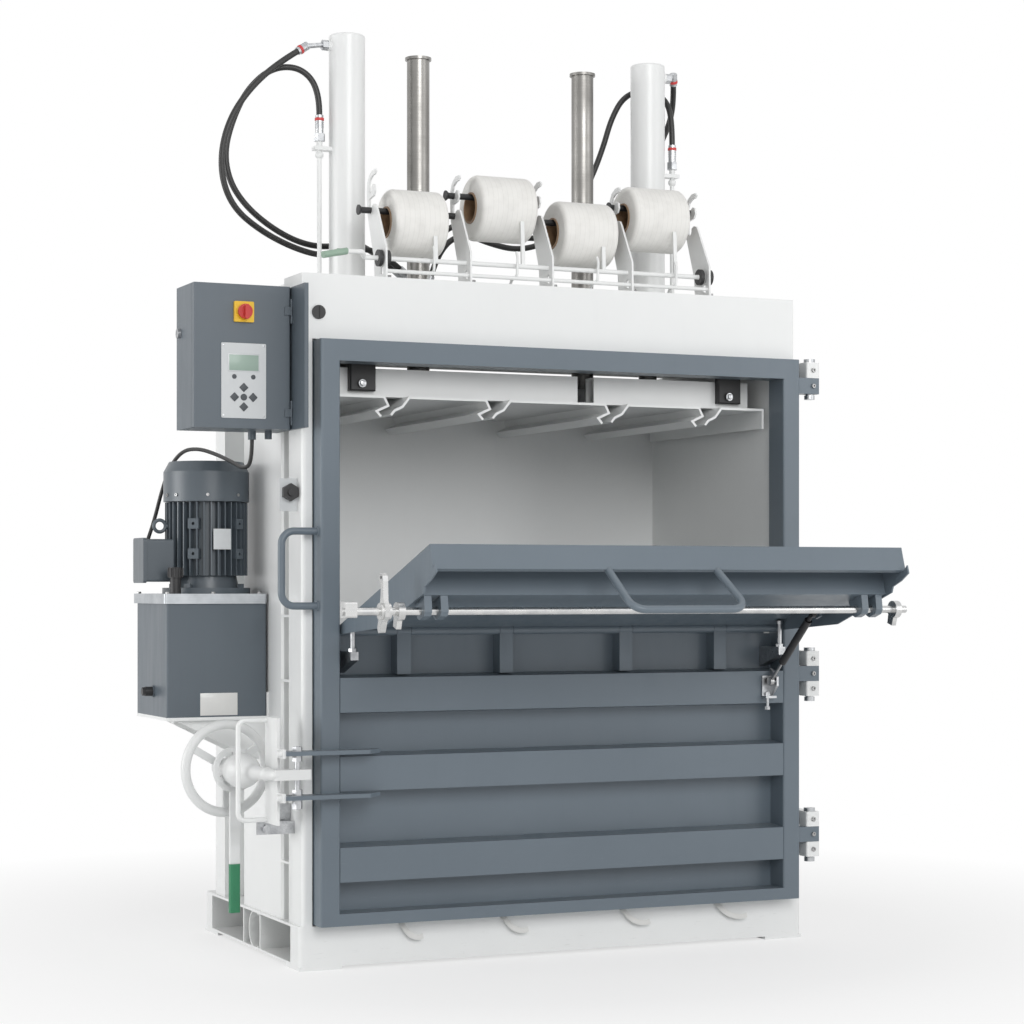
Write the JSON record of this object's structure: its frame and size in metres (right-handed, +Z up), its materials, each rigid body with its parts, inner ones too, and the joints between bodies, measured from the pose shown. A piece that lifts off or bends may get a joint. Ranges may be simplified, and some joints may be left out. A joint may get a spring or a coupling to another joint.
{
  "type": "vertical recycling baler",
  "caption": "Vertical baler: hinged front door with fold-down loading flap, two hydraulic rams driving a platen, power unit, control cabinet, door lock and strap rolls.",
  "frame": {"origin": "on the floor at the middle of the base frame", "axes": "+Z up, -Y out of the door side, +X towards the door hinges"},
  "size_m": [1.732, 1.5217, 2.378],
  "materials": {
    "body_white": "powder coat, semi matt",
    "door_grey": "powder coat, semi matt",
    "dark_grey": "powder coat, semi matt",
    "motor_grey": "semi gloss paint",
    "cast_metal": "as cast",
    "galvanised": "zinc plated",
    "machined_steel": "ground and polished",
    "black_plastic": "matt",
    "switch_yellow": "semi matt",
    "switch_red": "gloss",
    "panel_silver": "satin",
    "strap_fabric": "woven",
    "hose_rubber": "satin"
  },
  "bodies": {
    "machine": {"base_frame": "body_white", "chamber_floor": "body_white", "left_wall": "body_white", "right_wall": "body_white", "rear_wall": "body_white", "header_cover": "body_white", "press_beam": "body_white", "hydraulic_cylinders": "body_white", "oil_pipes": "galvanised", "valve_block": "galvanised", "hose_fittings": "galvanised", "oil_tank": "dark_grey", "tank_lid": "galvanised", "tank_caps": "black_plastic", "tank_shelf": "body_white", "gear_pump": "cast_metal", "motor_housing": "motor_grey", "fan_cowl": "motor_grey", "terminal_box": "motor_grey", "control_cabinet": "dark_grey", "door_switch": "galvanised", "strap_rack": "body_white", "roll_axles": "black_plastic", "hinge_pins": "galvanised", "lock_bars": "galvanised", "left_upper_hose": "hose_rubber", "left_lower_hose": "hose_rubber", "right_upper_hose": "hose_rubber", "right_lower_hose": "hose_rubber", "motor_cable": "hose_rubber"},
    "main_door": {"door_frame": "door_grey", "door_panel": "door_grey", "flap_pin": "galvanised", "door_fittings": "galvanised", "lock_lugs": "door_grey", "lock_screws": "galvanised", "guard_loop": "body_white"},
    "flap": {"flap_panel": "door_grey"},
    "latch": {"latch_bar": "galvanised"},
    "gas_spring_tube": {"gas_cylinder": "black_plastic"},
    "gas_spring_rod": {"gas_rod": "machined_steel"},
    "lock_swing_arm": {"lock_arm": "body_white"},
    "ratchet": {"ratchet_lever": "body_white"},
    "wheel": {"handwheel": "body_white"},
    "press": {"platen": "body_white", "guide_rods": "machined_steel", "piston_rods": "machined_steel", "guide_shoes": "black_plastic"},
    "cabinet_front": {"cabinet_door": "dark_grey", "switch_plate": "switch_yellow", "keypad_panel": "panel_silver"},
    "main_switch": {"switch_knob": "switch_red"},
    "cabinet_catch": {"cabinet_lock": "galvanised"},
    "cover_catch": {"cover_lock": "black_plastic"},
    "rotor": {"motor_rotor": "machined_steel"},
    "brake": {"brake_shaft": "galvanised"},
    "roll_1": {"strap_roll_1": "strap_fabric"},
    "roll_2": {"strap_roll_2": "strap_fabric"},
    "roll_3": {"strap_roll_3": "strap_fabric"},
    "roll_4": {"strap_roll_4": "strap_fabric"}
  },
  "joints": [
    {"name": "door_hinge", "type": "hinge", "parent": "machine", "child": "main_door", "pos_m": [0.714, -0.4175, 0.8], "axis": [0, 0, 1], "range_deg": [0, 115]},
    {"name": "flap_hinge", "type": "hinge", "parent": "main_door", "child": "flap", "pos_m": [0, -0.4075, 0.828], "axis": [-1, 0, 0], "range_deg": [0, 72]},
    {"name": "latch_turn", "type": "hinge", "parent": "flap", "child": "latch", "pos_m": [0, -0.91735, 0.8801], "axis": [1, 0, 0], "range_deg": [0, 45]},
    {"name": "gas_spring_turn", "type": "hinge", "parent": "flap", "child": "gas_spring_tube", "pos_m": [0.568, -0.67379, 0.86826], "axis": [-1, 0, 0], "range_deg": [-30, 5]},
    {"name": "gas_spring_stroke", "type": "slide", "parent": "gas_spring_tube", "child": "gas_spring_rod", "axis": [0, 0.7577, -0.6526], "range_m": [-0.002, 0.135]},
    {"name": "lock_arm_swing", "type": "hinge", "parent": "main_door", "child": "lock_swing_arm", "pos_m": [-0.739, -0.4675, 0.486], "axis": [0, 0, 1], "range_deg": [0, 3]},
    {"name": "ratchet_swing", "type": "hinge", "parent": "lock_swing_arm", "child": "ratchet", "pos_m": [-0.82687, -0.24982, 0.486], "axis": [-0.1449, 0.9894, 0], "range_deg": [-12, 100]},
    {"name": "handwheel_turn", "type": "hinge", "parent": "lock_swing_arm", "child": "wheel", "pos_m": [-0.83383, -0.20233, 0.486], "axis": [-0.1449, 0.9894, 0], "continuous": true},
    {"name": "press_stroke", "type": "slide", "parent": "machine", "child": "press", "axis": [0, 0, -1], "range_m": [0, 0.55]},
    {"name": "cabinet_hinge", "type": "hinge", "parent": "machine", "child": "cabinet_front", "pos_m": [-0.7115, -0.3435, 1.5], "axis": [0, 0, 1], "range_deg": [0, 85]},
    {"name": "main_switch_turn", "type": "hinge", "parent": "cabinet_front", "child": "main_switch", "pos_m": [-0.833, -0.3405, 1.602], "axis": [0, 1, 0], "range_deg": [0, 90]},
    {"name": "cabinet_lock_turn", "type": "hinge", "parent": "machine", "child": "cabinet_catch", "pos_m": [-0.957, -0.2225, 1.555], "axis": [1, 0, 0], "range_deg": [0, 90]},
    {"name": "cover_lock_turn", "type": "hinge", "parent": "machine", "child": "cover_catch", "pos_m": [-0.657, -0.3875, 1.605], "axis": [0, 1, 0], "range_deg": [0, 90]},
    {"name": "motor_spin", "type": "hinge", "parent": "machine", "child": "rotor", "pos_m": [-0.818, 0.0155, 1], "axis": [0, 0, 1], "continuous": true},
    {"name": "brake_turn", "type": "hinge", "parent": "machine", "child": "brake", "pos_m": [0, -0.3375, 1.753], "axis": [1, 0, 0], "range_deg": [0, 40]},
    {"name": "roll_1_spin", "type": "hinge", "parent": "machine", "child": "roll_1", "pos_m": [-0.36, -0.2585, 1.8553], "axis": [1, 0, 0], "continuous": true},
    {"name": "roll_2_spin", "type": "hinge", "parent": "machine", "child": "roll_2", "pos_m": [-0.119, -0.2555, 1.9073], "axis": [1, 0, 0], "continuous": true},
    {"name": "roll_3_spin", "type": "hinge", "parent": "machine", "child": "roll_3", "pos_m": [0.111, -0.2585, 1.8553], "axis": [1, 0, 0], "continuous": true},
    {"name": "roll_4_spin", "type": "hinge", "parent": "machine", "child": "roll_4", "pos_m": [0.321, -0.2555, 1.9073], "axis": [1, 0, 0], "continuous": true}
  ],
  "couplings": [
    {"joint": "gas_spring_turn", "follows": "flap_hinge", "ratio": -0.29031},
    {"joint": "gas_spring_stroke", "follows": "flap_hinge", "m_per_rad": 0.1032}
  ]
}
